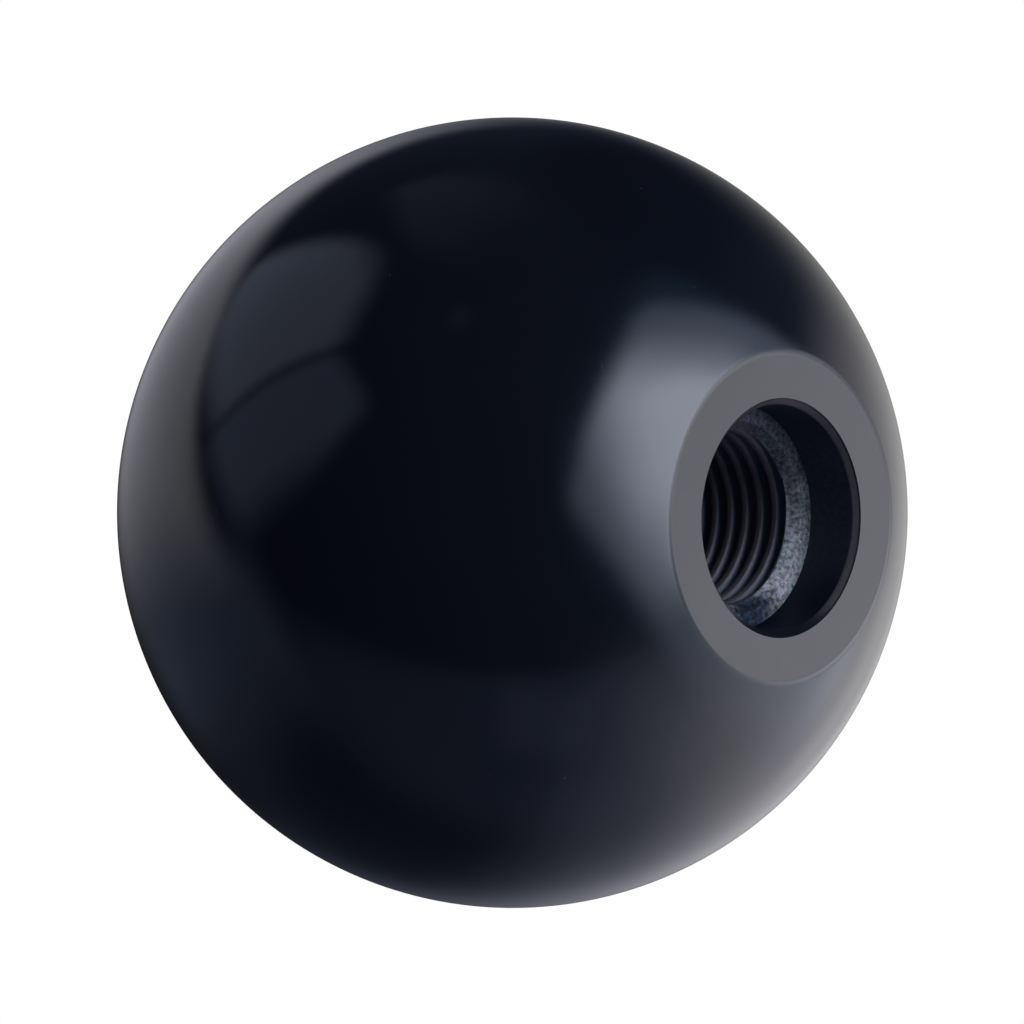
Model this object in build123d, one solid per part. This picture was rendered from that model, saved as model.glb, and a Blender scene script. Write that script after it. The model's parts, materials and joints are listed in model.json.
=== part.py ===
from build123d import *
import math
import os

# Ball knob: a moulded ball with a flat mounting face, and a knurled steel bush that the ball is moulded round.
# Sizes are in millimetres. The ball's centre is the origin, +Z is up and the threaded mouth opens along -Y.
# Every piece is first drawn round the Z axis with its mouth at the top, and is then turned to face forward.

# Ball and mounting face
ball_d = 50.0
flat_d = 20.6  # across the sharp corner, before it is rounded
flat_edge_r = 0.4

# Recess in front of the bush
recess_d = 14.0
recess_depth = 3.8
mouth_chamfer = 0.4

# Tapped hole, metric fine, modelled at its tap drill's diameter and countersunk to the thread's own diameter
thread_d = 12.0
thread_pitch = 1.25
thread_depth = 20.0
drill_point_angle = 118.0

# Bush outside
bush_lap = 1.0  # how far the moulding laps over the bush's end face, measured to the knurl's root
bush_floor = 1.2  # steel left behind the drill point
bush_chamfer = 0.7

# Straight knurl that stops the bush from turning in the ball
knurl_count = 40
knurl_depth = 0.5
knurl_angle = 90.0

# Ring grooves that stop the bush from being pulled out
groove_count = 2
groove_width = 2.4
groove_depth = 0.8  # below the knurl's root

# Sizes that follow from the ones above
ball_r = ball_d / 2
flat_r = flat_d / 2
recess_r = recess_d / 2
major_r = thread_d / 2
tap_drill_r = (thread_d - thread_pitch) / 2
flat_z = math.sqrt(ball_r**2 - flat_r**2)
face_z = flat_z - recess_depth
root_r = recess_r + bush_lap
crest_r = root_r + knurl_depth
groove_r = root_r - groove_depth
drill_point = tap_drill_r / math.tan(math.radians(drill_point_angle / 2))
bush_length = thread_depth + drill_point + bush_floor
bush_back_z = face_z - bush_length

mouth_forward = Rotation(90, 0, 0)


def turned(corners):
    """A solid turned round the Z axis from the corners of its half section."""
    section = make_face(Polyline(*corners, close=True))
    return revolve(Plane.XZ * section, Axis.Z)


def ball_blank():
    """The ball with its rounded flat and its chamfered recess, before there is room for the bush."""
    skin = ThreePointArc((0, -ball_r), (ball_r, 0), (flat_r, flat_z))
    front = Polyline(
        (flat_r, flat_z),
        (recess_r + mouth_chamfer, flat_z),
        (recess_r, flat_z - mouth_chamfer),
        (recess_r, face_z),
        (0, face_z),
        (0, -ball_r),
    )
    section = make_face(skin + front)
    flat_corner = section.vertices().group_by(Axis.Y)[-1].sort_by(Axis.X)[-1]
    section = fillet(flat_corner, flat_edge_r)
    return revolve(Plane.XZ * section, Axis.Z)


def groove_corners():
    """Half-section corners of the ring grooves, evenly spread between the bush's two ends."""
    spacing = bush_length / (groove_count + 1)
    corners = []
    for number in range(groove_count):
        middle = face_z - spacing * (number + 1)
        upper = middle + groove_width / 2
        lower = middle - groove_width / 2
        corners += [(crest_r, upper), (groove_r, upper), (groove_r, lower), (crest_r, lower)]
    return corners


def bush_turning():
    """The bush as it comes off the lathe: chamfered ends and ring grooves, with no knurl or hole yet."""
    front_end = [(0, face_z), (crest_r - bush_chamfer, face_z), (crest_r, face_z - bush_chamfer)]
    back_end = [(crest_r, bush_back_z + bush_chamfer), (crest_r - bush_chamfer, bush_back_z), (0, bush_back_z)]
    return turned(front_end + groove_corners() + back_end)


def knurl_bar():
    """A straight-knurled bar as long as the bush: a round bar less one vee for each gap between teeth."""
    clear = knurl_depth
    half_width = (knurl_depth + clear) * math.tan(math.radians(knurl_angle / 2))
    vee = make_face(Polyline((-knurl_depth, 0), (clear, half_width), (clear, -half_width), close=True))
    profile = Circle(crest_r) - PolarLocations(crest_r, knurl_count) * vee
    return extrude(Plane.XY.offset(bush_back_z) * profile, bush_length)


def bush_blank():
    """The bush's whole outside, which is also the room that it takes up in the moulding."""
    return bush_turning() & knurl_bar()


def tapped_hole():
    """The blind hole at the tap drill's diameter, with a countersunk mouth and the drill's point."""
    countersunk_z = face_z - (major_r - tap_drill_r)
    full_z = face_z - thread_depth
    return turned(
        [
            (0, face_z),
            (major_r, face_z),
            (tap_drill_r, countersunk_z),
            (tap_drill_r, full_z),
            (0, full_z - drill_point),
        ]
    )


def make_ball_body():
    """The moulding: the ball with the bush's outside left open in it."""
    return mouth_forward * (ball_blank() - bush_blank())


def make_threaded_insert():
    """The steel bush, seated at the bottom of the recess."""
    return mouth_forward * (bush_blank() - tapped_hole())


pieces = {
    "ball_body": make_ball_body(),
    "threaded_insert": make_threaded_insert(),
}

os.makedirs("parts", exist_ok=True)
for name, piece in pieces.items():
    export_step(piece, f"parts/{name}.step")
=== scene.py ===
"""A ball knob: a polished black ball with a satin mounting face, a recess and a threaded steel bush.

Everything is in metres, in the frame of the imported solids. The ball's centre is the origin, the bore's
axis is level, its mouth opens along -Y, and +Z is up. A place on a piece is given by its distance from
the bore's axis, its axial place (along the axis, towards the mouth) and its angle round the axis, from +X
towards +Z.
"""
import json
import logging
import math
from dataclasses import dataclass
from enum import IntEnum

import bpy
import numpy as np
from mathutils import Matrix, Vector


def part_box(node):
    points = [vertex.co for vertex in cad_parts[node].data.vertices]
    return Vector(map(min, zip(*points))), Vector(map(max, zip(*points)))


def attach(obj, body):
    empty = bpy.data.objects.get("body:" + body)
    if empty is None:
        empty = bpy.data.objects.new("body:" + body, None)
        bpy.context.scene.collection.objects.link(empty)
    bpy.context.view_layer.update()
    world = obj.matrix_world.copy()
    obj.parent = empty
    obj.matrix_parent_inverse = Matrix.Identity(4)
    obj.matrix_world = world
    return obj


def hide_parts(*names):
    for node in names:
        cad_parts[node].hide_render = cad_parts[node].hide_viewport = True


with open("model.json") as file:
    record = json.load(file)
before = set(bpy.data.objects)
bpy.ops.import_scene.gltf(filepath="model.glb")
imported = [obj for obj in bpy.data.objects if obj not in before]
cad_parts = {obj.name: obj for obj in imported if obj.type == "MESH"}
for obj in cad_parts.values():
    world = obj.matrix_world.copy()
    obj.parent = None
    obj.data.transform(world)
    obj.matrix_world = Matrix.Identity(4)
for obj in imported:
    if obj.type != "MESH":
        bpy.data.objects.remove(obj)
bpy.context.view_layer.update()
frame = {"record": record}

LOG = logging.getLogger("ball_knob")

MM = 0.001
PICTURE_SIDE_PX = 1024
COLUMNS = 240  # round the axis, six to each tooth of the knurl

Colour = tuple[float, float, float]
Direction = tuple[float, float, float]
Socket = bpy.types.NodeSocket
Value = Socket | Vector | float | tuple[float, ...]  # what a node's input takes
ORIGIN: Direction = (0.0, 0.0, 0.0)
WHITE = (1.0, 1.0, 1.0, 1.0)


class BallZone(IntEnum):
    """Which finish a band of the ball takes."""

    SKIN = 0
    EDGE = 1
    FACE = 2
    LIP = 3
    INSIDE = 4


class BushZone(IntEnum):
    """Which finish a band of the bush takes."""

    OUTSIDE = 0
    END_FACE = 1
    HOLE = 2


@dataclass(frozen=True)
class FrameSizes:
    """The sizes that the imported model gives, which this script takes over unchanged.

    All are in metres. The axial places count from the ball's centre towards the mouth.
    """

    ball_r: float
    flat_axial: float
    recess_r: float
    bush_face_axial: float
    bush_back_axial: float
    bush_r: float
    thread_minor_r: float

    @classmethod
    def read(cls) -> "FrameSizes":
        """Reads the sizes from the boxes of the two solids and from the record's mounts.

        Returns:
            The sizes, with the ball no larger than the narrower side of its solid.
        """
        mounts = {mount["name"]: mount for mount in frame["record"]["mounts"]}
        ball_low, ball_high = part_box("ball_body")
        bush_low, bush_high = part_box("threaded_insert")
        return cls(
            ball_r=min(ball_high.x, -ball_low.x, ball_high.z, -ball_low.z, ball_high.y),
            flat_axial=-ball_low.y,
            recess_r=mounts["recess"]["dims"]["r_mm"] * MM,
            bush_face_axial=-bush_low.y,
            bush_back_axial=-bush_high.y,
            bush_r=min(bush_high.x, -bush_low.x, bush_high.z, -bush_low.z),
            thread_minor_r=mounts["thread"]["dims"]["r_mm"] * MM,
        )


@dataclass(frozen=True)
class Span:
    """One stretch of a piece's skin, as rows that go round the axis.

    points holds (radius, axial) for each row and column. lead is how many rows further on the last column
    meets the first one: 0 on a plain turned stretch, and the rows of one pitch on a thread.
    """

    points: np.ndarray
    zone: IntEnum
    lead: int = 0


def straight(start: tuple[float, float], end: tuple[float, float], steps: int = 1) -> np.ndarray:
    """Rows along a straight line of the half section: start + (end - start) * t, with t evenly spaced.

    Args:
        start: Radius and axial place of the first row.
        end: Radius and axial place of the last row.
        steps: How many bands the line is cut into.

    Returns:
        An array of (steps + 1, 2).
    """
    share = np.linspace(0.0, 1.0, steps + 1)[:, None]
    return np.array(start) * (1.0 - share) + np.array(end) * share


def arc(centre: tuple[float, float], radius: float, first: float, last: float, steps: int) -> np.ndarray:
    """Rows along a circular arc of the half section: centre + radius * (cos t, sin t).

    Args:
        centre: Radius and axial place of the arc's centre.
        radius: The arc's own radius.
        first: Angle of the first row in radians, from the outward direction towards the mouth.
        last: Angle of the last row.
        steps: How many bands the arc is cut into.

    Returns:
        An array of (steps + 1, 2).
    """
    turn = np.linspace(first, last, steps + 1)
    return np.array(centre) + radius * np.column_stack([np.cos(turn), np.sin(turn)])


def round_axis(rows: np.ndarray, limit: np.ndarray | None = None) -> np.ndarray:
    """Carries rows of the half section round the axis, and keeps them inside a limiting outline.

    The radius at each angle is the smaller of the row's radius and the outline's radius there.

    Args:
        rows: (radius, axial) of each row.
        limit: The outline's radius at each column, or None for a plain turned form.

    Returns:
        An array of (rows, COLUMNS, 2).
    """
    points = np.repeat(rows[:, None, :], COLUMNS, axis=1)
    if limit is not None:
        points[:, :, 0] = np.minimum(points[:, :, 0], limit[None, :])
    return points


def column_angles() -> np.ndarray:
    """Angle round the axis of each column, in radians."""
    return np.arange(COLUMNS) * (2.0 * math.pi / COLUMNS)


def grid_faces(grid: np.ndarray) -> np.ndarray:
    """Four-sided faces between the points of a grid, row by row.

    Args:
        grid: The number of each point, by row and column.

    Returns:
        An array of (faces, 4).
    """
    return np.stack([grid[:-1, :-1], grid[:-1, 1:], grid[1:, 1:], grid[1:, :-1]], axis=-1).reshape(-1, 4)


def skin_mesh(name: str, spans: list[Span], crease: float) -> bpy.types.Mesh:
    """Makes one closed mesh from spans of rows that follow each other from pole to pole.

    A point is (radius * cos(angle), -axial, radius * sin(angle)). Each band between two rows is a ring of
    four-sided faces that is closed by its last column, which on a thread meets the first column one pitch
    further on. Points that fall together are made one, and faces that this leaves with fewer than four
    corners become triangles or go.

    Args:
        name: The mesh's name.
        spans: The stretches, each with its rows, zone and lead.
        crease: Angle in radians between two faces from which their common edge stays sharp.

    Returns:
        The mesh, smooth between its creases, with one material index for each zone.
    """
    points = np.concatenate([span.points for span in spans])
    zones = np.concatenate([np.full(len(span.points), int(span.zone)) for span in spans])
    meets = np.concatenate([np.maximum(np.arange(len(s.points)) - s.lead, 0) for s in spans])
    first_rows = np.cumsum([0] + [len(span.points) for span in spans[:-1]])
    meets += np.repeat(first_rows, [len(span.points) for span in spans])

    angle = column_angles()[None, :]
    radius, axial = points[:, :, 0], points[:, :, 1]
    place = np.stack([radius * np.cos(angle), -axial, radius * np.sin(angle)], axis=-1).reshape(-1, 3)
    weld_grid = 1e-7
    keys = np.round(place / weld_grid).astype(np.int64)
    kept, corner_of = np.unique(keys, axis=0, return_index=True, return_inverse=True)[1:]
    corner_of = corner_of.reshape(len(points), COLUMNS)

    beyond = np.concatenate([corner_of, corner_of[meets, :1]], axis=1)
    quads = grid_faces(beyond)
    quad_zones = np.repeat(zones[:-1], COLUMNS)
    same = quads == np.roll(quads, -1, axis=1)
    crossed = (quads[:, 0] == quads[:, 2]) | (quads[:, 1] == quads[:, 3])
    whole = (same.sum(axis=1) == 0) & ~crossed
    three = (same.sum(axis=1) == 1) & ~crossed
    triangles = quads[three][~same[three]].reshape(-1, 3)

    mesh = bpy.data.meshes.new(name)
    mesh.from_pydata(place[kept].tolist(), [], quads[whole].tolist() + triangles.tolist())
    mesh.polygons.foreach_set("material_index", np.concatenate([quad_zones[whole], quad_zones[three]]))
    mesh.polygons.foreach_set("use_smooth", np.ones(len(mesh.polygons), dtype=bool))
    mesh.update()
    mesh.set_sharp_from_angle(angle=crease)
    return mesh


def empty_tree(owner: bpy.types.Material | bpy.types.World) -> bpy.types.NodeTree:
    """Gives a material or a world nodes of its own and returns their tree, which is empty."""
    owner.use_nodes = True
    owner.node_tree.nodes.clear()
    return owner.node_tree


class NodeDesk:
    """A node tree with short ways to add a node and wire it up."""

    def __init__(self, tree: bpy.types.NodeTree) -> None:
        """Takes the tree to work on."""
        self.tree = tree

    def add(self, kind: str, settings: dict[str, object] | None = None, **inputs: Value) -> bpy.types.Node:
        """Adds a node.

        Args:
            kind: The node's type name in Blender, without its ShaderNode prefix.
            settings: Properties to set on the node before its inputs.
            **inputs: Values or output sockets for its inputs, by name with underscores for spaces, or by in0,
                in1 and so on for their number.

        Returns:
            The new node.
        """
        node = self.tree.nodes.new("ShaderNode" + kind)
        for key, value in (settings or {}).items():
            setattr(node, key, value)
        for key, value in inputs.items():
            number = key[2:]
            self.feed(node.inputs[int(number) if number.isdigit() else key.replace("_", " ")], value)
        return node

    def feed(self, socket: Socket, value: Value) -> None:
        """Links an output socket to an input, or sets the input's own value."""
        if isinstance(value, bpy.types.NodeSocket):
            self.tree.links.new(value, socket)
        else:
            socket.default_value = value

    def operation(self, kind: str, name: str, inputs: tuple[Value, ...]) -> bpy.types.Node:
        """Adds a Math or Vector Math node of the named operation, with its inputs in order."""
        numbered = {f"in{number}": value for number, value in enumerate(inputs)}
        return self.add(kind, {"operation": name}, **numbered)

    def maths(self, name: str, *inputs: Value) -> Socket:
        """Adds a Math node."""
        return self.operation("Math", name, inputs).outputs[0]

    def vector(self, name: str, *inputs: Value) -> Socket:
        """Adds a Vector Math node that gives a vector."""
        return self.operation("VectorMath", name, inputs).outputs[0]

    def measure(self, name: str, *inputs: Value) -> Socket:
        """Adds a Vector Math node that gives a number."""
        return self.operation("VectorMath", name, inputs).outputs["Value"]

    def times(self, product: Value, *factors: Value) -> Socket:
        """Multiplies a number by each of the others in turn."""
        for factor in factors:
            product = self.maths("MULTIPLY", product, factor)
        return product

    def vary(self, base: Value, *swings: tuple[Value, Value]) -> Socket:
        """Adds to a base, for each pair in turn, its first number times its second."""
        for value, amount in swings:
            base = self.maths("MULTIPLY_ADD", value, amount, base)
        return base

    def scaled(self, vector: Value, factor: Value) -> Socket:
        """Multiplies a vector or a colour by a number."""
        return self.add("VectorMath", {"operation": "SCALE"}, in0=vector, Scale=factor).outputs[0]

    def divided(self, vector: Value, number: Value) -> Socket:
        """Divides a vector by a number."""
        return self.scaled(vector, self.maths("DIVIDE", 1.0, number))

    def part(self, vector: Socket, number: int) -> Socket:
        """Takes one part of a vector: 0 for x, 1 for y and 2 for z."""
        return self.add("SeparateXYZ", None, Vector=vector).outputs[number]

    def noise(self, vector: Socket, detail: Value, unevenness: Value) -> Socket:
        """Adds noise over a vector, less a half."""
        node = self.add("TexNoise", None, Vector=vector, Scale=1.0, Detail=detail, Roughness=unevenness)
        return self.maths("SUBTRACT", node.outputs[0], 0.5)

    def ease(self, value: Value, low: Value, high: Value, start: Value = 0.0, end: Value = 1.0) -> Socket:
        """Adds a smooth step from start to end while value goes from low to high.

        Args:
            value: The value or socket that is read.
            low: Where the step begins.
            high: Where it ends.
            start: The result up to low.
            end: The result from high on.

        Returns:
            The step's output.
        """
        ends = {"From_Min": low, "From_Max": high, "To_Min": start, "To_Max": end}
        return self.add("MapRange", {"interpolation_type": "SMOOTHERSTEP"}, Value=value, **ends).outputs[0]

    def mix(self, share: Value, first: Value, second: Value) -> Socket:
        """Mixes two colours.

        Args:
            share: 0 and less gives the first colour, 1 and more the second.
            first: A colour of three, or a socket.
            second: Likewise.

        Returns:
            The mixed colour.
        """
        node = self.add("Mix", {"data_type": "RGBA", "clamp_factor": True})
        self.feed(node.inputs["Factor"], share)
        for socket, colour in zip([s for s in node.inputs if s.type == "RGBA"], (first, second)):
            self.feed(socket, (*colour, 1.0) if isinstance(colour, tuple) else colour)
        return next(s for s in node.outputs if s.type == "RGBA")

    def group(self, tree: bpy.types.NodeTree, **inputs: Value) -> dict[str, Socket]:
        """Places a node group and wires it up.

        Args:
            tree: The group.
            **inputs: Values or sockets for its inputs, by name with underscores for spaces.

        Returns:
            Its outputs by name.
        """
        node = self.tree.nodes.new("ShaderNodeGroup")
        node.node_tree = tree
        for key, value in inputs.items():
            self.feed(node.inputs[key.replace("_", " ")], value)
        return {socket.name: socket for socket in node.outputs}


class GroupDesk(NodeDesk):
    """A shader node group in the making, with its inputs to read from and its outputs to feed."""

    def __init__(self, name: str, inputs: dict[str, Value], outputs: dict[str, str]) -> None:
        """Makes an empty group with named sockets.

        Args:
            name: The group's name.
            inputs: Each input's name with its usual value: a number, a colour of four, or a vector of three.
            outputs: Each output's name with its socket type, such as Float, Color or Vector.
        """
        tree = bpy.data.node_groups.new(name, "ShaderNodeTree")
        kinds = {3: "NodeSocketVector", 4: "NodeSocketColor"}
        for label, value in inputs.items():
            kind = "NodeSocketFloat" if isinstance(value, float) else kinds[len(value)]
            socket = tree.interface.new_socket(name=label, in_out="INPUT", socket_type=kind)
            socket.default_value = value
        for label, kind in outputs.items():
            tree.interface.new_socket(name=label, in_out="OUTPUT", socket_type="NodeSocket" + kind)
        super().__init__(tree)
        self.given = {socket.name: socket for socket in tree.nodes.new("NodeGroupInput").outputs}
        self.result = {socket.name: socket for socket in tree.nodes.new("NodeGroupOutput").inputs}

    def give(self, **values: Socket) -> bpy.types.NodeTree:
        """Feeds the group's outputs by name and returns the group."""
        for name, value in values.items():
            self.feed(self.result[name], value)
        return self.tree


class SurfaceEffects:
    """The surface effects that the knob's finishes share, each a node group that is built once."""

    def __init__(self) -> None:
        """Builds the groups."""
        self.axis_place = self._axis_place()
        self.grain = self._grain()
        self.round_marks = self._round_marks()
        self.specks = self._specks()
        self.hairlines = self._hairlines()
        self.oxide = self._oxide()

    def _axis_place(self) -> bpy.types.NodeTree:
        """Radius from the bore's axis, and the direction from the axis as a vector of length one.

        Returns:
            The group. Radius is the root of x squared plus z squared, and Direction is (x, 0, z) over it.
        """
        desk = GroupDesk("axis place", {"Place": ORIGIN}, {"Radius": "Float", "Direction": "Vector"})
        flat = desk.vector("MULTIPLY", desk.given["Place"], (1.0, 0.0, 1.0))
        return desk.give(Radius=desk.measure("LENGTH", flat), Direction=desk.vector("NORMALIZE", flat))

    def _grain(self) -> bpy.types.NodeTree:
        """Even, cloudy variation of one size, centred on zero.

        Returns:
            The group. Value is noise of the given size, less a half.
        """
        usual = {"Place": ORIGIN, "Size": 0.001, "Detail": 3.0, "Unevenness": 0.5}
        desk = GroupDesk("grain", usual, {"Value": "Float"})
        place = desk.divided(desk.given["Place"], desk.given["Size"])
        return desk.give(Value=desk.noise(place, desk.given["Detail"], desk.given["Unevenness"]))

    def _round_marks(self) -> bpy.types.NodeTree:
        """A cutting tool's marks round the bore's axis: rings where Turn is large, ticks where it is small.

        Returns:
            The group. Value is noise over the direction from the axis divided by Turn, in radians, and the
            radius divided by Length, less a half.
        """
        usual = {"Place": ORIGIN, "Turn": 0.5, "Length": 0.0001, "Unevenness": 0.6}
        desk = GroupDesk("round marks", usual, {"Value": "Float"})
        where = desk.group(self.axis_place, Place=desk.given["Place"])
        round_about = desk.divided(where["Direction"], desk.given["Turn"])
        outward = desk.add("CombineXYZ", None, Y=desk.maths("DIVIDE", where["Radius"], desk.given["Length"]))
        both = desk.vector("ADD", round_about, outward.outputs[0])
        return desk.give(Value=desk.noise(both, 2.0, desk.given["Unevenness"]))

    def _specks(self) -> bpy.types.NodeTree:
        """Sparse small round specks, such as dust or pits.

        Returns:
            The group. Mask is one in a speck, where the distance to a cell's point is under Size times
            the cell, in the share of cells that Share gives. A speck is from 0.4 to 1.4 times Size.
        """
        usual = {"Place": ORIGIN, "Cell": 0.002, "Share": 0.3, "Size": 0.05}
        desk = GroupDesk("specks", usual, {"Mask": "Float"})
        place = desk.divided(desk.given["Place"], desk.given["Cell"])
        cells = desk.add("TexVoronoi", None, Vector=place, Scale=1.0)
        draw = desk.add("SeparateColor", None, Color=cells.outputs["Color"])
        chosen = desk.maths("LESS_THAN", draw.outputs[0], desk.given["Share"])
        own_size = desk.times(desk.given["Size"], desk.maths("ADD", 0.4, draw.outputs[1]))
        near = desk.ease(cells.outputs["Distance"], desk.times(own_size, 0.5), own_size, 1.0, 0.0)
        return desk.give(Mask=desk.times(near, chosen))

    def _hairlines(self) -> bpy.types.NodeTree:
        """Faint fine scratches that run in changing directions.

        Returns:
            The group. Mask is one on a line, where noise stretched along a bent direction crosses its middle
            value, and only in patches.
        """
        usual = {"Place": ORIGIN, "Size": 0.004, "Width": 0.02}
        desk = GroupDesk("hairlines", usual, {"Mask": "Float"})
        place = desk.divided(desk.given["Place"], desk.given["Size"])
        bend = desk.add("TexNoise", None, Vector=place, Scale=0.35, Detail=1.0)
        bent = desk.vector("ADD", place, bend.outputs["Color"])
        drawn = desk.vector("MULTIPLY", bent, (0.5, 3.2, 2.1))
        off_line = desk.maths("ABSOLUTE", desk.noise(drawn, 1.0, 0.4))
        line = desk.ease(off_line, 0.0, desk.given["Width"], 1.0, 0.0)
        patches = desk.add("TexNoise", None, Vector=place, Scale=0.8, Detail=2.0)
        return desk.give(Mask=desk.times(line, desk.ease(patches.outputs[0], 0.5, 0.62)))

    def _oxide(self) -> bpy.types.NodeTree:
        """The mottled black oxide on the bush's turned end, lit below the bore and shaded above it by painted
        light and painted shade.

        Returns:
            The group. Colour goes from the lit oxide colour below the bore, a painted light, to the shaded
            one above it, a painted shade, is broken up by clouds, temper tints, grain and ticks, and turns to
            Stain near Stain Place. Height is the ticks and the grain.
        """
        usual = {
            "Place": ORIGIN, "Bright": (0.5, 0.5, 0.5, 1.0), "Dull": (0.1, 0.1, 0.1, 1.0),
            "Stain": (0.05, 0.05, 0.1, 1.0), "Stain Place": ORIGIN, "Stain Size": 0.001}
        desk = GroupDesk("oxide", usual, {"Colour": "Color", "Height": "Float"})
        place, stain_size = desk.given["Place"], desk.given["Stain Size"]
        tick = {"Turn": 0.045, "Length": 0.35 * MM, "Unevenness": 0.55}
        ticks = desk.group(self.round_marks, Place=place, **tick)["Value"]
        size_detail_unevenness = (
            (0.25 * MM, 3.0, 0.6), (1.3 * MM, 3.0, 0.5), (0.8 * MM, 2.0, 0.5), (1.9 * MM, 2.0, 0.5))
        grain, cloud, blotch, hue = (
            desk.group(self.grain, Place=place, Size=size, Detail=detail, Unevenness=unevenness)["Value"]
            for size, detail, unevenness in size_detail_unevenness)

        # Lighter below the bore and darker above it: painted light and painted shade, with clouds along the
        # border.
        above = desk.part(desk.group(self.axis_place, Place=place)["Direction"], 2)
        side = desk.ease(desk.vary(above, (cloud, 1.1)), -0.8, 0.75)
        plain = desk.mix(side, desk.given["Bright"], desk.given["Dull"])

        away = desk.measure("DISTANCE", place, desk.given["Stain Place"])
        ragged = desk.vary(away, (desk.vary(cloud, (ticks, 0.3)), 2.4 * MM))
        stained = desk.ease(ragged, desk.times(stain_size, 0.2), stain_size, 0.95, 0.0)
        pooled = desk.maths("MAXIMUM", desk.vary(1.0, (blotch, 3.5)), 0.25)
        mixed = desk.mix(stained, plain, desk.scaled(desk.given["Stain"], pooled))

        temper = desk.mix(desk.ease(hue, -0.12, 0.12), (0.92, 1.02, 0.99), (1.05, 0.985, 1.03))
        uneven = desk.maths("MAXIMUM", desk.vary(1.0, (grain, 3.0), (ticks, 2.2)), 0.2)
        colour = desk.scaled(desk.vector("MULTIPLY", mixed, temper), uneven)
        return desk.give(Colour=colour, Height=desk.vary(grain, (ticks, 0.8)))


@dataclass(frozen=True)
class Specks:
    """Sparse specks: the size of their cells, the share of cells that holds one, and its size in cells."""

    cell: float
    share: float
    size: float


class MaterialDesk(NodeDesk):
    """A material's node tree, with its Principled shader, its Object coordinates and the shared effects."""

    def __init__(self, name: str, effects: SurfaceEffects, ior: float) -> None:
        """Makes a material with a Principled shader and Object coordinates.

        Args:
            name: The material's name.
            effects: The shared node groups.
            ior: The shader's index of refraction.
        """
        self.material = bpy.data.materials.new(name)
        super().__init__(empty_tree(self.material))
        self.effects = effects
        self.shader = self.add("BsdfPrincipled", None, IOR=ior)
        self.add("OutputMaterial", None, Surface=self.shader.outputs[0])
        self.place = self.add("TexCoord").outputs["Object"]

    def grain(self, size: float, detail: float = 3.0, place: Socket | None = None) -> Socket:
        """Adds grain of one size, over the piece's own place unless another one is given."""
        over = self.place if place is None else place
        return self.group(self.effects.grain, Place=over, Size=size, Detail=detail)["Value"]

    def specks(self, specks: Specks) -> Socket:
        """Adds specks over the piece's own place."""
        settings = {"Cell": specks.cell, "Share": specks.share, "Size": specks.size}
        return self.group(self.effects.specks, Place=self.place, **settings)["Mask"]

    def finish(self, colour: Socket, roughness: Socket, height: Socket, depth: float) -> bpy.types.Material:
        """Feeds the shader and ends the material.

        Args:
            colour: The base colour.
            roughness: The roughness.
            height: The bump's height, as a share of depth.
            depth: That depth in metres.

        Returns:
            The material.
        """
        bump = self.add("Bump", None, Height=height, Distance=depth, Strength=1.0)
        self.feed(self.shader.inputs["Base Color"], colour)
        self.feed(self.shader.inputs["Roughness"], roughness)
        self.feed(self.shader.inputs["Normal"], bump.outputs[0])
        return self.material


@dataclass(frozen=True)
class PolishedThermoset:
    """The ball's polished skin: almost black, with a slight orange peel, some dust and a few hairlines."""

    colour: Colour = (0.0041, 0.0051, 0.0083)
    tone_swing: float = 0.25
    dust_colour: Colour = (0.022, 0.024, 0.028)
    dust_cover: float = 0.6
    roughness: float = 0.075
    cloud_roughness: float = 0.03
    hairline_roughness: float = 0.10
    dust_roughness: float = 0.45
    ior: float = 1.55
    cloud_size: float = 6.0 * MM
    dust: Specks = Specks(1.7 * MM, 0.16, 0.045)
    hairline_size: float = 3.2 * MM
    hairline_width: float = 0.008
    peel_size: float = 1.6 * MM
    peel_depth: float = 0.0008 * MM

    def make(self, effects: SurfaceEffects) -> bpy.types.Material:
        """Builds the material.

        Args:
            effects: The shared node groups.

        Returns:
            The material.
        """
        desk = MaterialDesk("polished thermoset", effects, self.ior)
        cloud = desk.grain(self.cloud_size)
        dust = desk.specks(self.dust)
        hairline = {"Size": self.hairline_size, "Width": self.hairline_width}
        hairlines = desk.group(effects.hairlines, Place=desk.place, **hairline)["Mask"]
        darker = tuple((1.0 - self.tone_swing) * part for part in self.colour)
        lighter = tuple((1.0 + self.tone_swing) * part for part in self.colour)
        clean = desk.mix(desk.vary(0.5, (cloud, 0.5)), darker, lighter)
        return desk.finish(
            colour=desk.mix(desk.times(dust, self.dust_cover), clean, self.dust_colour),
            roughness=desk.vary(
                self.roughness, (cloud, self.cloud_roughness), (hairlines, self.hairline_roughness),
                (dust, self.dust_roughness)),
            height=desk.grain(self.peel_size, detail=1.5),
            depth=self.peel_depth)


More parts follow.
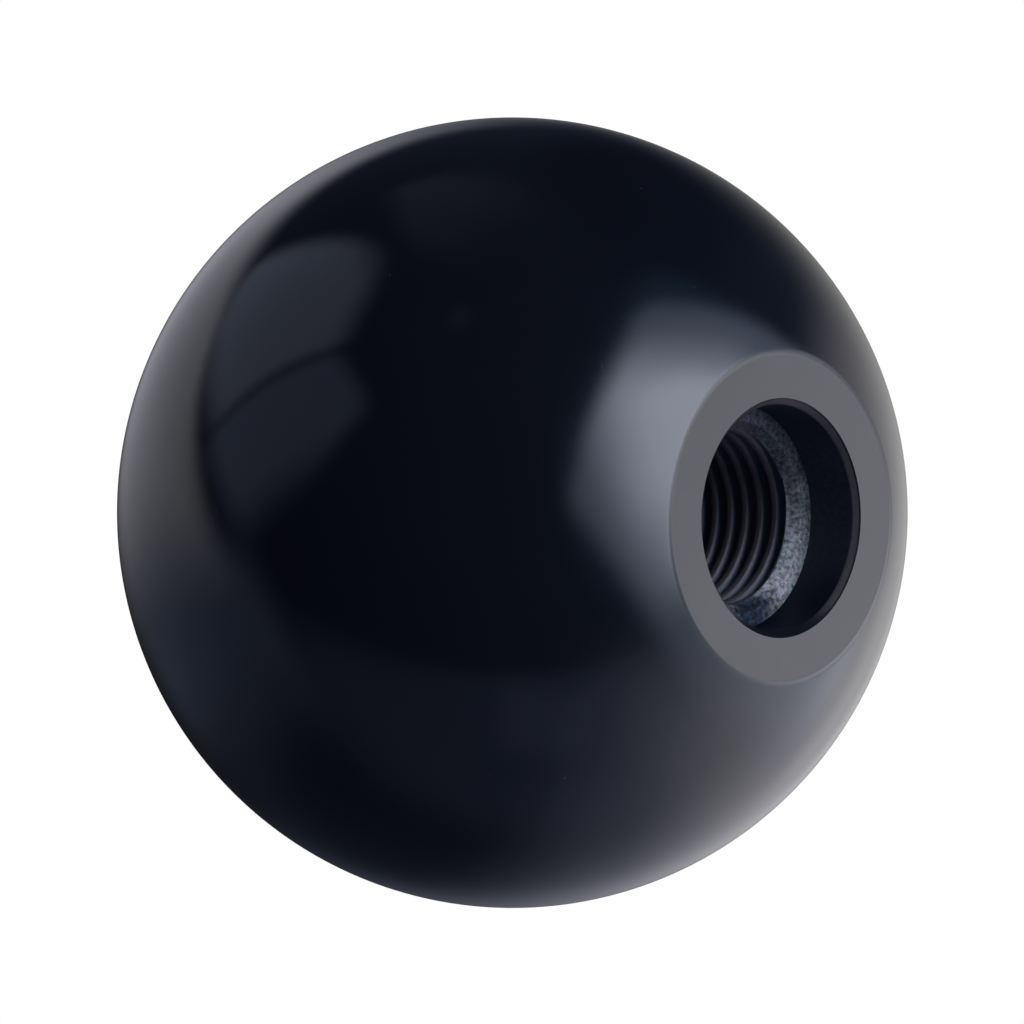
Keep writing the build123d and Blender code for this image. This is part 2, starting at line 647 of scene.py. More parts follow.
@dataclass(frozen=True)
class SatinThermoset:
    """The mounting face: the same moulding, faced off to a satin grey.

    Its colour gets lighter along a set direction, by that vector's length for each metre: a painted light
    gradient across the face.
    """

    colour: Colour = (0.056, 0.048, 0.036)
    scuff_colour: Colour = (0.080, 0.070, 0.055)
    cloud_scuff: float = 0.6
    speck_scuff: float = 0.8
    # Direction and strength of the painted light gradient across the face.
    painted_light_way: Direction = (15.0, 0.0, -11.0)
    roughness: float = 0.46
    cloud_roughness: float = 0.06
    grain_roughness: float = 0.08
    ior: float = 1.55
    ring_turn: float = 0.5
    ring_spacing: float = 0.09 * MM
    ring_unevenness: float = 0.6
    grain_size: float = 0.12 * MM
    grain_height: float = 0.5
    cloud_size: float = 3.0 * MM
    specks: Specks = Specks(1.1 * MM, 0.22, 0.06)
    depth: float = 0.0015 * MM

    def make(self, effects: SurfaceEffects) -> bpy.types.Material:
        """Builds the material.

        Args:
            effects: The shared node groups.

        Returns:
            The material.
        """
        desk = MaterialDesk("satin thermoset", effects, self.ior)
        ring = {"Turn": self.ring_turn, "Length": self.ring_spacing, "Unevenness": self.ring_unevenness}
        rings = desk.group(effects.round_marks, Place=desk.place, **ring)["Value"]
        grain = desk.grain(self.grain_size)
        cloud = desk.grain(self.cloud_size)
        scuffed = desk.vary(0.0, (desk.specks(self.specks), self.speck_scuff), (cloud, self.cloud_scuff))
        # Painted light: the face is made lighter towards one side, where more light falls.
        painted_light_lean = desk.measure("DOT_PRODUCT", desk.place, self.painted_light_way)
        plain = desk.mix(scuffed, self.colour, self.scuff_colour)
        return desk.finish(
            colour=desk.scaled(plain, desk.maths("ADD", painted_light_lean, 1.0)),
            roughness=desk.vary(self.roughness, (cloud, self.cloud_roughness), (grain, self.grain_roughness)),
            height=desk.vary(rings, (grain, self.grain_height)),
            depth=self.depth)


@dataclass(frozen=True)
class EasedThermoset:
    """The mounting face's rounded edge: satin where it leaves the flat, polished where it meets the ball.

    flat_ends and ball_starts are the radii at which the round begins and ends. Its colour carries a painted
    highlight on both sides along a set direction of length one, and painted shade across it.
    """

    flat_ends: float
    ball_starts: float
    satin: SatinThermoset = SatinThermoset()
    polished: PolishedThermoset = PolishedThermoset()
    wander: float = 0.06 * MM
    gloss_share: float = 0.45
    gloss_roughness: float = 0.16
    # Painted highlight along this direction and painted shade across it.
    painted_highlight_way: Direction = (-0.643, 0.0, 0.766)
    mopped_gain: float = 2.7
    painted_shade_loss: float = 0.9
    depth: float = 0.0004 * MM

    def make(self, effects: SurfaceEffects) -> bpy.types.Material:
        """Builds the material.

        Args:
            effects: The shared node groups.

        Returns:
            The material.
        """
        desk = MaterialDesk("eased thermoset", effects, self.satin.ior)
        where = desk.group(effects.axis_place, Place=desk.place)
        grain = desk.grain(self.satin.grain_size)
        radius = desk.vary(where["Radius"], (grain, self.wander))
        tone = desk.ease(radius, self.flat_ends, self.ball_starts)
        plain = desk.mix(tone, self.satin.colour, self.polished.colour)
        middle = (self.flat_ends + self.ball_starts) / 2
        outer = desk.ease(radius, middle, self.ball_starts, 1.0, 0.0)
        on_edge = desk.times(desk.ease(radius, self.flat_ends, middle), outer)
        # Painted highlight and painted shade on the edge: lighter along one direction, darker across it.
        along = desk.measure("DOT_PRODUCT", where["Direction"], self.painted_highlight_way)
        painted_edge_light = desk.vary(-self.painted_shade_loss, (desk.times(along, along), self.mopped_gain))
        glossy = self.flat_ends + (self.ball_starts - self.flat_ends) * self.gloss_share
        return desk.finish(
            colour=desk.scaled(plain, desk.vary(1.0, (on_edge, painted_edge_light))),
            roughness=desk.ease(radius, self.flat_ends, glossy, self.satin.roughness, self.gloss_roughness),
            height=grain,
            depth=self.depth)


@dataclass(frozen=True)
class CutThermoset:
    """The recess's chamfered mouth: a satin grey cut with painted shade, which fades it out at the bottom,
    darkens it towards the top and darkens both its edges.

    face_axial is where the flat lies, and reach how far behind it the chamfer goes. The painted dark outer
    edge fades between the two shares of reach in outer_edge, and the painted dark inner edge begins at the
    share of reach given after it.
    """

    face_axial: float
    reach: float
    # The dark edges, the fade at the bottom and the darkening at the top are painted shade.
    outer_edge: tuple[float, float] = (0.05, 0.35)
    inner_edge: float = 0.7
    inner_shade: float = 0.2
    colour: Colour = (0.043, 0.038, 0.040)
    painted_shade_colour: Colour = (0.004, 0.0042, 0.006)
    tone: float = 0.9
    grain_tone: float = 0.7
    painted_bottom_dark: float = -6.8 * MM
    painted_bottom_clear: float = -5.0 * MM
    top: float = 6.0 * MM
    top_shade: float = 0.6
    roughness: float = 0.34
    grain_roughness: float = 0.1
    ior: float = 1.3
    grain_size: float = 0.3 * MM
    depth: float = 0.0015 * MM

    def make(self, effects: SurfaceEffects) -> bpy.types.Material:
        """Builds the material.

        Args:
            effects: The shared node groups.

        Returns:
            The material.
        """
        desk = MaterialDesk("cut thermoset", effects, self.ior)
        grain = desk.grain(self.grain_size)
        behind = desk.maths("ADD", desk.part(desk.place, 1), self.face_axial)
        height = desk.part(desk.place, 2)
        # Painted shade: dark outer and inner edges, dark towards the bottom and darker towards the top; only
        # the grain tone is the cut's own.
        cut = desk.times(
            desk.ease(behind, *(share * self.reach for share in self.outer_edge)),
            desk.ease(behind, self.inner_edge * self.reach, self.reach, 1.0, self.inner_shade),
            desk.ease(height, self.painted_bottom_dark, self.painted_bottom_clear),
            desk.ease(height, 0.0, self.top, 1.0, self.top_shade),
            desk.vary(self.tone, (grain, self.grain_tone)))
        return desk.finish(
            colour=desk.mix(cut, self.painted_shade_colour, self.colour),
            roughness=desk.vary(self.roughness, (grain, self.grain_roughness)),
            height=grain,
            depth=self.depth)


@dataclass(frozen=True)
class RecessThermoset:
    """The recess and the room for the bush, as moulded: dark and matt, with painted light on its sides and
    painted shade at its top.

    With a place's height taken as a share of its distance from the axis, painted light makes it lighter
    between the first two heights, and painted shade makes the top darker between the two in shaded.
    """

    colour: Colour = (0.0022, 0.0034, 0.0088)
    # Painted light from the bottom up, and painted shade at the top.
    painted_light_colour: Colour = (0.044, 0.047, 0.068)
    painted_light_heights: tuple[float, float] = (-1.0, 0.0)
    tone: float = 1.2
    grain_tone: float = 0.8
    dust_tone: float = 0.6
    shaded: tuple[float, float] = (0.4, 1.0)
    top_shade: float = 0.42
    roughness: float = 0.5
    grain_roughness: float = 0.12
    dust_roughness: float = 0.3
    ior: float = 1.12
    grain_size: float = 0.35 * MM
    dust: Specks = Specks(0.9 * MM, 0.2, 0.07)
    depth: float = 0.002 * MM

    def make(self, effects: SurfaceEffects) -> bpy.types.Material:
        """Builds the material.

        Args:
            effects: The shared node groups.

        Returns:
            The material.
        """
        desk = MaterialDesk("recess thermoset", effects, self.ior)
        grain = desk.grain(self.grain_size, detail=4.0)
        dust = desk.specks(self.dust)
        above = desk.part(desk.group(effects.axis_place, Place=desk.place)["Direction"], 2)
        # Painted light: lighter from the bottom up to the sides and above; painted shade: darker again
        # towards the top.
        plain = desk.mix(desk.ease(above, *self.painted_light_heights), self.colour, self.painted_light_colour)
        uneven = desk.vary(self.tone, (grain, self.grain_tone), (dust, self.dust_tone))
        shade = desk.ease(above, *self.shaded, 1.0, self.top_shade)
        return desk.finish(
            colour=desk.scaled(plain, desk.times(uneven, shade)),
            roughness=desk.vary(self.roughness, (grain, self.grain_roughness), (dust, self.dust_roughness)),
            height=grain,
            depth=self.depth)


@dataclass(frozen=True)
class BlackenedSteel:
    """The bush's steel: a mottled black oxide on its turned end, and dark, oily steel in and round it.

    end_axial is where the end face lies, and turned_depth how far behind it the turned end's look goes.
    The changes of look on the way, each from one share of turned_depth to another, are sunk, from the end
    face to the countersink, which is darker with painted shade, rim, which is lighter with a painted
    highlight, and deep, where the oily steel begins. In the thread's grooves, from the radius groove_from to
    groove_full, the steel takes a lighter colour: painted light in the shade of the grooves.
    """

    end_axial: float
    turned_depth: float
    sunk: tuple[float, float] = (0.004, 0.03)
    rim: tuple[float, float] = (0.6, 0.85)
    deep: tuple[float, float] = (0.9, 1.1)
    # The oxide lit below the bore and shaded above it: painted light and painted shade.
    painted_lit_oxide: Colour = (0.320, 0.336, 0.340)
    painted_shaded_oxide: Colour = (0.062, 0.063, 0.076)
    stain: Colour = (0.010, 0.019, 0.040)
    stain_place: Direction = (1.5 * MM, -18.98 * MM, -6.2 * MM)
    stain_size: float = 3.5 * MM
    countersink_shade: float = 0.75
    rim_gain: float = 0.25
    oily: Colour = (0.085, 0.076, 0.080)
    oily_dark: Colour = (0.050, 0.048, 0.057)
    streak_tone: float = 0.8
    cloud_tone: float = 1.6
    # Lighter colour in the grooves: painted light where they lie in shade.
    groove: Colour = (0.14, 0.16, 0.22)
    groove_from: float = 5.50 * MM
    groove_full: float = 5.85 * MM
    ior: float = 1.18
    turned_metallic: float = 0.6
    oily_metallic: float = 0.35
    end_roughness: float = 0.50
    countersink_roughness: float = 0.60
    oily_roughness: float = 0.31
    streak_roughness: float = 0.1
    streak_size: float = 0.12 * MM
    streak_squeeze: Direction = (0.35, 2.2, 0.35)
    streak_height: float = 0.15
    cloud_size: float = 0.9 * MM
    depth: float = 0.02 * MM

    def make(self, effects: SurfaceEffects) -> bpy.types.Material:
        """Builds the material.

        Args:
            effects: The shared node groups.

        Returns:
            The material.
        """
        desk = MaterialDesk("blackened steel", effects, self.ior)
        oxide = desk.group(
            effects.oxide, Place=desk.place, Bright=(*self.painted_lit_oxide, 1.0), Dull=(*self.painted_shaded_oxide, 1.0),
            Stain=(*self.stain, 1.0), Stain_Place=self.stain_place, Stain_Size=self.stain_size)
        behind = desk.maths("ADD", desk.part(desk.place, 1), self.end_axial)
        sunk, rim, deep = (
            desk.ease(behind, low * self.turned_depth, high * self.turned_depth)
            for low, high in (self.sunk, self.rim, self.deep))
        # Painted highlight on the rim and painted shade on the countersink, over the oxide's own colour.
        shade = desk.vary(1.0, (rim, self.rim_gain), (sunk, self.countersink_shade - 1.0))

        squeezed = desk.vector("MULTIPLY", desk.place, self.streak_squeeze)
        streaks = desk.grain(self.streak_size, place=squeezed)
        cloud = desk.grain(self.cloud_size, detail=4.0)
        tone = desk.vary(0.5, (streaks, self.streak_tone), (cloud, self.cloud_tone))
        radius = desk.group(effects.axis_place, Place=desk.place)["Radius"]
        # Painted light in the grooves' shade: their colour is lifted above the oily steel's.
        in_groove = desk.ease(radius, self.groove_from, self.groove_full)
        oily = desk.mix(in_groove, desk.mix(tone, self.oily_dark, self.oily), self.groove)

        less_metallic = desk.vary(self.oily_metallic - self.turned_metallic, (in_groove, -self.oily_metallic))
        desk.feed(desk.shader.inputs["Metallic"], desk.vary(self.turned_metallic, (deep, less_metallic)))
        return desk.finish(
            colour=desk.mix(deep, desk.scaled(oxide["Colour"], shade), oily),
            roughness=desk.vary(
                self.end_roughness, (sunk, self.countersink_roughness - self.end_roughness),
                (deep, self.oily_roughness - self.countersink_roughness), (streaks, self.streak_roughness)),
            height=desk.vary(
                desk.times(streaks, self.streak_height),
                (oxide["Height"], desk.maths("SUBTRACT", 1.0, deep))),
            depth=self.depth)


@dataclass(frozen=True)
class BushOutline:
    """The outside of the bush, which is also the room that it takes up in the ball. Sizes in metres."""

    sizes: FrameSizes
    knurl_count: int = 40
    knurl_depth: float = 0.5 * MM
    chamfer: float = 0.7 * MM
    groove_count: int = 2
    groove_width: float = 2.4 * MM
    groove_depth: float = 0.8 * MM

    def teeth(self) -> np.ndarray:
        """The knurl's radius at each column.

        A vee of 90 degrees is cut at the middle of each gap. With t the angle from that middle, its sides
        lie at root / (cos t - sin t), and the crest is round.

        Returns:
            One radius for each column.
        """
        gap = 2.0 * math.pi / self.knurl_count
        off_middle = np.abs((column_angles() + gap / 2) % gap - gap / 2)
        root = self.sizes.bush_r - self.knurl_depth
        return np.minimum(self.sizes.bush_r, root / (np.cos(off_middle) - np.sin(off_middle)))

    def rows(self) -> np.ndarray:
        """The turned half section, from the middle of the back end to the outer edge of the end face.

        Returns:
            (radius, axial) of each row.
        """
        back, face, crest = self.sizes.bush_back_axial, self.sizes.bush_face_axial, self.sizes.bush_r
        groove_r = crest - self.knurl_depth - self.groove_depth
        corners = [(0.0, back), (crest - self.chamfer, back), (crest, back + self.chamfer)]
        spacing = (face - back) / (self.groove_count + 1)
        for number in range(self.groove_count):
            middle = back + spacing * (number + 1)
            low, high = middle - self.groove_width / 2, middle + self.groove_width / 2
            corners += [(crest, low), (groove_r, low), (groove_r, high), (crest, high)]
        corners += [(crest, face - self.chamfer), (crest - self.chamfer, face)]
        band_length = 0.9 * MM
        stretches = []
        for start, end in zip(corners[:-1], corners[1:]):
            steps = max(1, round(math.dist(start, end) / band_length))
            stretches.append(straight(start, end, steps))
        return np.concatenate(stretches)


@dataclass(frozen=True)
class MouldedBall:
    """The moulded ball, with its flat, its recess and the room for the bush. Sizes in metres."""

    sizes: FrameSizes
    outline: BushOutline
    flat_edge_r: float = 1.2 * MM
    mouth_chamfer: float = 0.4 * MM
    sphere_bands: int = 130
    edge_bands: int = 8
    face_bands: int = 12
    lip_bands: int = 3
    wall_bands: int = 10
    crease: float = math.radians(30)

    def edge_round(self) -> tuple[tuple[float, float], float]:
        """Where the round between the ball and the flat lies.

        Its centre is flat_edge_r behind the flat and ball_r - flat_edge_r from the ball's centre, so that it
        runs smoothly into both.

        Returns:
            The centre's radius and axial place, and the angle at which the ball meets it.
        """
        axial = self.sizes.flat_axial - self.flat_edge_r
        radius = math.sqrt((self.sizes.ball_r - self.flat_edge_r) ** 2 - axial**2)
        return (radius, axial), math.atan2(axial, radius)

    def build(self) -> bpy.types.Object:
        """Builds the ball as one closed skin, from its back round the front and the recess to its inside.

        Returns:
            The object, not yet dressed.
        """
        sizes = self.sizes
        edge_centre, meeting = self.edge_round()
        quarter = math.pi / 2
        flat_outer = (edge_centre[0], sizes.flat_axial)
        flat_inner = (sizes.recess_r + self.mouth_chamfer, sizes.flat_axial)
        wall_top = (sizes.recess_r, sizes.flat_axial - self.mouth_chamfer)
        wall_foot = (sizes.recess_r, sizes.bush_face_axial)
        ledge = (sizes.bush_r - self.outline.chamfer, sizes.bush_face_axial)
        room = self.outline.rows()[::-1]
        sphere = arc((0.0, 0.0), sizes.ball_r, -quarter, meeting, self.sphere_bands)
        edge = arc(edge_centre, self.flat_edge_r, meeting, quarter, self.edge_bands)
        spans = [
            Span(round_axis(sphere), BallZone.SKIN),
            Span(round_axis(edge), BallZone.EDGE),
            Span(round_axis(straight(flat_outer, flat_inner, self.face_bands)), BallZone.FACE),
            Span(round_axis(straight(flat_inner, wall_top, self.lip_bands)), BallZone.LIP),
            Span(round_axis(straight(wall_top, wall_foot, self.wall_bands)), BallZone.INSIDE),
            Span(round_axis(straight(wall_foot, ledge)), BallZone.INSIDE),
            Span(round_axis(room, self.outline.teeth()), BallZone.INSIDE),
        ]
        return bpy.data.objects.new("ball_skin", skin_mesh("ball_skin", spans, self.crease))

    def dress(self, ball: bpy.types.Object, effects: SurfaceEffects) -> None:
        """Gives the ball its finishes, in the order of BallZone.

        Args:
            ball: The ball's object.
            effects: The shared node groups.
        """
        lip = CutThermoset(self.sizes.flat_axial, self.mouth_chamfer)
        edge_centre, meeting = self.edge_round()
        edge = EasedThermoset(edge_centre[0], self.sizes.ball_r * math.cos(meeting))
        for finish in (PolishedThermoset(), edge, SatinThermoset(), lip, RecessThermoset()):
            ball.data.materials.append(finish.make(effects))


@dataclass(frozen=True)
class ThreadedBush:
    """The steel bush, with its knurled outside, its end face and its tapped hole. Sizes in metres.

    groove_axial is where the middle of one of the thread's grooves lies at angle 0. root_half and
    crest_half are half the widths of the thread's flats, and corner_share the length over which its
    corners are rounded, all three in pitches.
    """

    sizes: FrameSizes
    outline: BushOutline
    pitch: float = 1.25 * MM
    major_r: float = 6.0 * MM
    depth: float = 20.0 * MM
    run_out: float = 1.9 * MM
    lead_in_start: float = 0.25 * MM
    lead_in_end: float = 0.75 * MM
    groove_axial: float = 17.82 * MM
    root_half: float = 1 / 16
    crest_half: float = 1 / 8
    flank_angle: float = math.radians(60)
    corner_share: float = 0.11
    corner_samples: int = 5
    flank_rows: int = 6
    drill_point_angle: float = math.radians(118)
    face_bands: int = 8
    point_bands: int = 8
    crease: float = math.radians(35)

    def wall(self, axial: np.ndarray, turn: np.ndarray) -> np.ndarray:
        """Radius of the tapped hole's wall.

        With d the distance to the middle of the nearest groove, the thread lies at major_r - (d -
        root_half * pitch) * tan(flank_angle), held between the minor and the major radius. That is
        averaged over a short length, which rounds its corners. The thread rises to its full height over
        the run-out at the bottom and over the lead-in behind the end face. The countersink opens the
        mouth at 45 degrees, to the major radius at the end face.

        Args:
            axial: Axial places.
            turn: Turns round the axis, from 0 to 1, of the same shape.

        Returns:
            The radii.
        """
        minor = self.sizes.thread_minor_r
        flank = math.tan(self.flank_angle)
        shifts = np.linspace(-0.5, 0.5, self.corner_samples) * self.corner_share
        radius = np.zeros_like(axial)
        for shift in shifts:
            phase = (axial - self.groove_axial) / self.pitch - turn + shift
            off_groove = np.abs(phase - np.round(phase)) * self.pitch
            sharp = self.major_r - (off_groove - self.pitch * self.root_half) * flank
            radius += np.clip(sharp, minor, self.major_r) / len(shifts)
        behind = self.sizes.bush_face_axial - axial
        rise = np.clip((self.depth - behind) / self.run_out, 0.0, 1.0)
        start = np.clip((behind - self.lead_in_start) / (self.lead_in_end - self.lead_in_start), 0.0, 1.0)
        share = rise * rise * (3.0 - 2.0 * rise) * start * start * (3.0 - 2.0 * start)
        return np.maximum(minor + (radius - minor) * share, self.major_r - behind)

    def thread_rows(self) -> tuple[np.ndarray, int]:
        """Rows that follow the thread down the hole, so that its corners lie on rows.

        A row keeps its place in the pitch and climbs one pitch towards the mouth in each turn. It is held
        between the end face and the hole's bottom.

        Returns:
            The rows as (radius, axial) for each column, and how many of them make one pitch.
        """
        crest_edge = 0.5 - self.crest_half
        corner = self.corner_share / 2
        flank = np.linspace(self.root_half + corner, crest_edge - corner, self.flank_rows)
        half = np.concatenate([[self.root_half - corner], flank, [crest_edge + corner]])
        in_pitch = np.sort(np.concatenate([half, 1.0 - half]))
        face, bottom = self.sizes.bush_face_axial, self.sizes.bush_face_axial - self.depth
        top = math.floor((face - self.groove_axial) / self.pitch) + 1
        low = math.floor((bottom - self.groove_axial) / self.pitch) - 2
        phases = np.concatenate([whole + in_pitch for whole in range(low, top + 1)])[::-1]
        start = np.flatnonzero(self.groove_axial + phases * self.pitch >= face)[-1]
        phases = phases[start:]
        turn = (column_angles() / (2 * math.pi))[None, :]
        axial = self.groove_axial + (phases[:, None] + turn) * self.pitch
        axial = np.clip(axial, bottom, face)
        radius = self.wall(axial, np.broadcast_to(turn, axial.shape))
        return np.stack([radius, axial], axis=-1), len(in_pitch)

    def build(self) -> bpy.types.Object:
        """Builds the bush as one closed skin, from its back end over its outside to the drill's point.

        Returns:
            The object, not yet dressed.
        """
        sizes = self.sizes
        face = sizes.bush_face_axial
        bottom = face - self.depth
        thread, lead = self.thread_rows()
        outer_edge = sizes.bush_r - self.outline.chamfer
        hole_edge = thread[0, :, 0]
        share = np.linspace(0.0, 1.0, self.face_bands + 1)[:, None]
        across = outer_edge + (hole_edge - outer_edge) * share
        end_face = np.stack([across, np.full_like(across, face)], axis=-1)
        point = sizes.thread_minor_r / math.tan(self.drill_point_angle / 2)
        drilled = straight((sizes.thread_minor_r, bottom), (0.0, bottom - point), self.point_bands)
        spans = [
            Span(round_axis(self.outline.rows(), self.outline.teeth()), BushZone.OUTSIDE),
            Span(end_face, BushZone.END_FACE),
            Span(thread, BushZone.HOLE, lead),
            Span(round_axis(drilled), BushZone.HOLE),
        ]
        return bpy.data.objects.new("bush", skin_mesh("bush", spans, self.crease))

    def dress(self, bush: bpy.types.Object, effects: SurfaceEffects) -> None:
        """Gives the bush its finish, which is one for all of BushZone.

        Args:
            bush: The bush's object.
            effects: The shared node groups.
        """
        countersink = self.major_r - self.sizes.thread_minor_r
        steel = BlackenedSteel(self.sizes.bush_face_axial, countersink).make(effects)
        for _ in BushZone:
            bush.data.materials.append(steel)


@dataclass(frozen=True)
class LightPanel:
    """A soft, straight-edged panel of studio light, far from the knob.

    Each corner gives its bearing and height, in degrees to the right of the camera and above it, seen
    from the knob, and over how many degrees either side the light fades across the edge from it to the
    next corner. A strength under zero takes light away.
    """

    name: str
    strength: float
    tint: Colour
    corners: tuple[tuple[float, float, float], ...]


LIGHT_PANELS = (
    LightPanel("key softbox", 0.62, (0.92, 1.0, 1.33), (
        (49, -33, 7), (15, 5, 6), (17, 12, 7), (44, 49, 4), (62, 55, 5), (115, 26, 10), (139, -27, 14))),
    LightPanel("key middle", 2.95, (0.97, 1.0, 1.20), (
        (54, -20, 17), (29, 1, 15), (27, 30, 5), (42, 43, 14), (90, 30, 12))),
    LightPanel("key hot spot", 1.4, (0.97, 1.0, 1.08), (
        (42, 2, 12), (38, 31, 7), (58, 37, 7), (78, 30, 12), (76, 2, 12))),
    LightPanel("key halo", 0.12, (0.35, 1.0, 1.55), (
        (43, -32, 12), (17, -6, 9), (12, 25, 7), (40, 51, 8), (78, 64, 8), (110, 26, 8), (117, -19, 14))),
    LightPanel("right wall", 0.435, (1.06, 1.0, 1.08), (
        (53, -48, 33), (110, 31, 14), (123, 27, 9), (171, 20, 13), (179, -18, 20))),
    LightPanel("right glow", 0.31, (1.0, 1.0, 0.87), (
        (78, -49, 19), (102, -1, 23), (164, 21, 15), (181, 0, 10), (159, -38, 18))),
    LightPanel("right floor", 0.20, (0.92, 1.0, 1.34), (
        (33, -41, 20), (104, 3, 19), (185, -19, 18), (181, -62, 21), (36, -76, 25))),
    LightPanel("right sheen", 0.26, (1.0, 1.0, 0.92), (
        (128, -24, 8), (128, -5, 10), (155, -5, 7), (155, -24, 8))),
    LightPanel("left wall", 0.53, (1.0, 1.0, 1.10), (
        (-174, 4, 14), (-172, 28, 7), (-127, 29, 5), (-110, 15, 9), (-96, -7, 15), (-166, 0, 9))),
    LightPanel("wall foot", 0.13, (0.83, 1.0, 1.63), (
        (-159, -8, 12), (-86, -5, 12), (-77, -22, 10), (-78, -38, 23), (-144, -27, 15))),
    LightPanel("upper pane", 0.33, (0.89, 1.0, 1.37), (
        (-136, 34, 4), (-111, 60, 7), (-80, 60, 7), (-67, 42, 3), (-102, 16, 7), (-122, 25, 4))),
    LightPanel("lower pane", 0.21, (0.86, 1.0, 1.52), (
        (-66, 40, 5), (-47, 29, 6), (-55, 15, 10), (-85, -3, 7), (-103, 13, 3))),
    LightPanel("front floor", 0.068, (0.82, 1.0, 1.75), (
        (-79, -21, 12), (-29, -43, 4), (28, -43, 8), (69, -27, 16), (138, -57, 26), (-140, -71, 20))),
    LightPanel("front glow", 0.075, (0.9, 1.0, 1.4), (
        (-2, -50, 8), (35, -50, 8), (50, -70, 9), (-10, -70, 9))),
    LightPanel("top patch", 0.055, (0.87, 1.0, 1.49), (
        (-162, 58, 4), (-148, 55, 4), (-98, 68, 7), (-57, 73, 16), (168, 76, 9))),
    LightPanel("left shade", -0.021, (0.7, 1.0, 2.0), (
        (154, 9, 9), (-136, -4, 14), (-112, -34, 19), (-121, -56, 18), (181, -10, 7))),
    LightPanel("upper shade", -0.02, (0.8, 1.0, 1.6), (
        (60, 62, 8), (100, 46, 8), (150, 30, 8), (172, 22, 8), (178, 60, 15), (100, 80, 12))),
    LightPanel("small lamp", 0.05, (0.9, 1.0, 1.3), (
        (-29, 54, 3), (-29, 60, 3), (-21, 60, 3), (-21, 54, 3))),
)


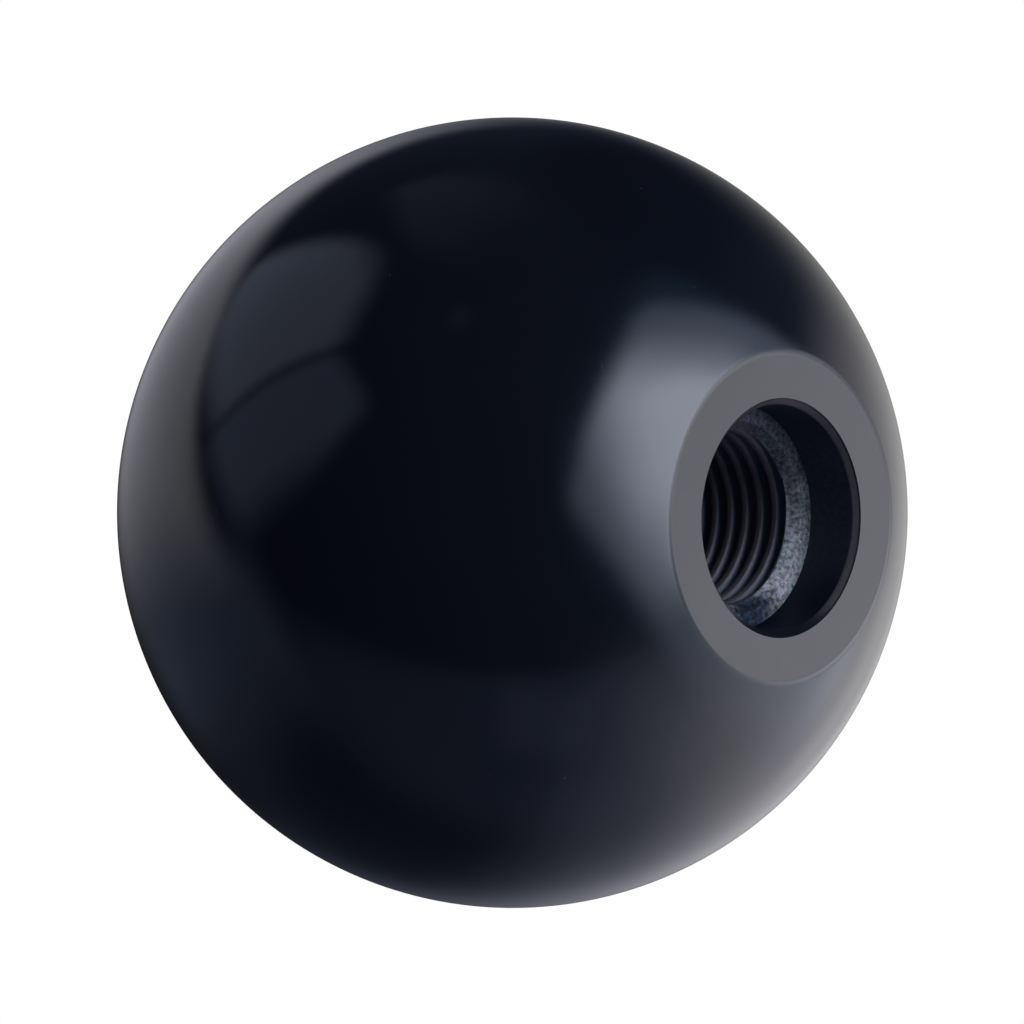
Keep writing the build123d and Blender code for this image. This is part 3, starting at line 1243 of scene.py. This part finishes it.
@dataclass(frozen=True)
class Studio:
    """The camera, the light and the white paper round the knob."""

    sizes: FrameSizes
    azimuth: float = math.radians(-46.8)
    elevation: float = math.radians(1.2)
    silhouette_px: float = 395.4
    centre_right_px: float = 0.3
    centre_drop_px: float = 0.7
    distance_in_radii: float = 24.0
    nearest_seen: float = 10.0 * MM
    paper_drop: float = 45.0 * MM
    paper_side: float = 4.0
    paper_bands: int = 8
    ambient: Colour = (0.0235, 0.0294, 0.0489)
    darkest: Colour = (0.003, 0.003, 0.003)

    def axes(self) -> tuple[Vector, Vector, Vector]:
        """Directions from the knob towards the camera, to the picture's right and to its top."""
        cos_a, sin_a = math.cos(self.azimuth), math.sin(self.azimuth)
        cos_e, sin_e = math.cos(self.elevation), math.sin(self.elevation)
        toward = Vector((sin_a * cos_e, -cos_a * cos_e, sin_e))
        right = Vector((cos_a, sin_a, 0.0))
        return toward, right, toward.cross(right)

    def place_camera(self) -> None:
        """Makes the camera, with the ball's centre a little to the right of the picture's and below it.

        The ball's outline is silhouette_px from its centre in the picture. From distance d in radii it is
        seen at the angle whose tangent is 1 / sqrt(d * d - 1), which sets the focal length.
        """
        data = bpy.data.cameras.new("camera")
        focal_px = self.silhouette_px * math.sqrt(self.distance_in_radii**2 - 1.0)
        data.lens = focal_px / PICTURE_SIDE_PX * data.sensor_width
        data.shift_x = -self.centre_right_px / PICTURE_SIDE_PX
        data.shift_y = self.centre_drop_px / PICTURE_SIDE_PX
        data.clip_start = self.nearest_seen
        camera = bpy.data.objects.new("camera", data)
        toward = self.axes()[0]
        camera.location = toward * self.distance_in_radii * self.sizes.ball_r
        camera.rotation_euler = toward.to_track_quat("Z", "Y").to_euler()
        bpy.context.scene.collection.objects.link(camera)
        bpy.context.scene.camera = camera

    def edges(self, panel: LightPanel) -> list[tuple[Vector, float]]:
        """Inward direction and fade of each edge of a light panel.

        An edge lies on the great circle through its two corners. Its inward direction is their cross
        product, turned towards the panel's middle.

        Args:
            panel: The panel.

        Returns:
            For each edge, the direction at right angles to it in the scene's frame, and the sine of its fade.
        """
        toward, right, up = self.axes()
        corners = []
        for bearing, height in ((math.radians(c[0]), math.radians(c[1])) for c in panel.corners):
            level = right * math.sin(bearing) + toward * math.cos(bearing)
            corners.append(level * math.cos(height) + up * math.sin(height))
        inward = [one.cross(other).normalized() for one, other in zip(corners, corners[1:] + corners[:1])]
        middle = sum(corners, Vector())
        side = math.copysign(1.0, sum(edge.dot(middle) for edge in inward))
        return [(edge * side, math.sin(math.radians(c[2]))) for edge, c in zip(inward, panel.corners)]

    def edge_group(self) -> bpy.types.NodeTree:
        """The node group that fades a light panel across one of its edges.

        Returns:
            The group. Share is So Far times a smooth step from 0 to 1, as the direction's share along
            Inward goes from minus Fade to Fade.
        """
        usual = {"Direction": (0.0, 0.0, 1.0), "Inward": (0.0, 0.0, 1.0), "Fade": 0.1, "So Far": 1.0}
        desk = GroupDesk("panel edge", usual, {"Share": "Float"})
        fade = desk.given["Fade"]
        inside = desk.measure("DOT_PRODUCT", desk.given["Direction"], desk.given["Inward"])
        step = desk.ease(inside, desk.times(fade, -1.0), fade)
        return desk.give(Share=desk.times(step, desk.given["So Far"]))

    def hang_lights(self) -> None:
        """Lights the knob with the soft panels, and shows the camera plain white paper behind it."""
        world = bpy.data.worlds.new("studio")
        desk = NodeDesk(empty_tree(world))
        direction = desk.add("TexCoord").outputs["Generated"]
        panel_edge = self.edge_group()
        total: Value = self.ambient
        for panel in LIGHT_PANELS:
            share: Value = panel.strength
            for inward, fade in self.edges(panel):
                share = desk.group(
                    panel_edge, Direction=direction, Inward=inward, Fade=fade, So_Far=share)["Share"]
            light = desk.scaled(panel.tint, share)
            light.node.label = panel.name
            total = desk.vector("ADD", total, light)
        studio = desk.add("Background", None, Color=desk.vector("MAXIMUM", total, self.darkest))
        paper = desk.add("Background", None, Color=WHITE)
        seen = desk.add("LightPath").outputs["Is Camera Ray"]
        shown = desk.add("MixShader", None, in0=seen, in1=studio.outputs[0], in2=paper.outputs[0])
        desk.add("OutputWorld", None, Surface=shown.outputs[0])
        bpy.context.scene.world = world

    def lay_paper(self) -> None:
        """Lays the white paper under the knob.

        It shines, so that it shows as white. What it throws up onto the knob is already in the light
        panels, so it takes no part in reflections. From below it lets the view through.
        """
        half = self.paper_side / 2
        steps = np.linspace(-half, half, self.paper_bands + 1)
        across, along = np.meshgrid(steps, steps)
        points = np.column_stack([across.ravel(), along.ravel(), np.full(across.size, -self.paper_drop)])
        faces = grid_faces(np.arange(across.size).reshape(across.shape))
        mesh = bpy.data.meshes.new("paper")
        mesh.from_pydata(points.tolist(), [], faces.tolist())
        material = bpy.data.materials.new("white paper")
        desk = NodeDesk(empty_tree(material))
        white = desk.add("Emission", None, Color=WHITE)
        through = desk.add("BsdfTransparent")
        behind = desk.add("NewGeometry").outputs["Backfacing"]
        shown = desk.add("MixShader", None, in0=behind, in1=white.outputs[0], in2=through.outputs[0])
        desk.add("OutputMaterial", None, Surface=shown.outputs[0])
        mesh.materials.append(material)
        paper = bpy.data.objects.new("paper", mesh)
        paper.visible_diffuse = False
        paper.visible_glossy = False
        paper.visible_shadow = False
        bpy.context.scene.collection.objects.link(paper)

    def build(self) -> None:
        """Sets up the camera, the lights, the paper and a plain view of the light's own values."""
        self.place_camera()
        self.hang_lights()
        self.lay_paper()
        bpy.context.scene.view_settings.view_transform = "Standard"


def hand_over(piece: bpy.types.Object, node: str) -> None:
    """Puts a finished piece in the scene in the place of its solid.

    Args:
        piece: The dressed piece.
        node: The solid that it stands for.
    """
    bpy.context.scene.collection.objects.link(piece)
    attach(piece, "root")
    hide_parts(node)
    piece.data.calc_loop_triangles()
    low, high = (tuple(round(part / MM, 3) for part in piece.bound_box[corner]) for corner in (0, 6))
    triangles = len(piece.data.loop_triangles)
    LOG.info("%s stands for %s: %d triangles, from %s to %s", piece.name, node, triangles, low, high)


def main() -> None:
    """Builds the studio and the knob's two pieces in order, and writes down how large they came out."""
    logging.basicConfig(level=logging.INFO, format="%(message)s")
    sizes = FrameSizes.read()
    Studio(sizes).build()
    effects = SurfaceEffects()
    outline = BushOutline(sizes)

    moulding = MouldedBall(sizes, outline)
    ball = moulding.build()
    moulding.dress(ball, effects)
    hand_over(ball, "ball_body")

    turning = ThreadedBush(sizes, outline)
    bush = turning.build()
    turning.dress(bush, effects)
    hand_over(bush, "threaded_insert")


if __name__ == "__main__":
    main()
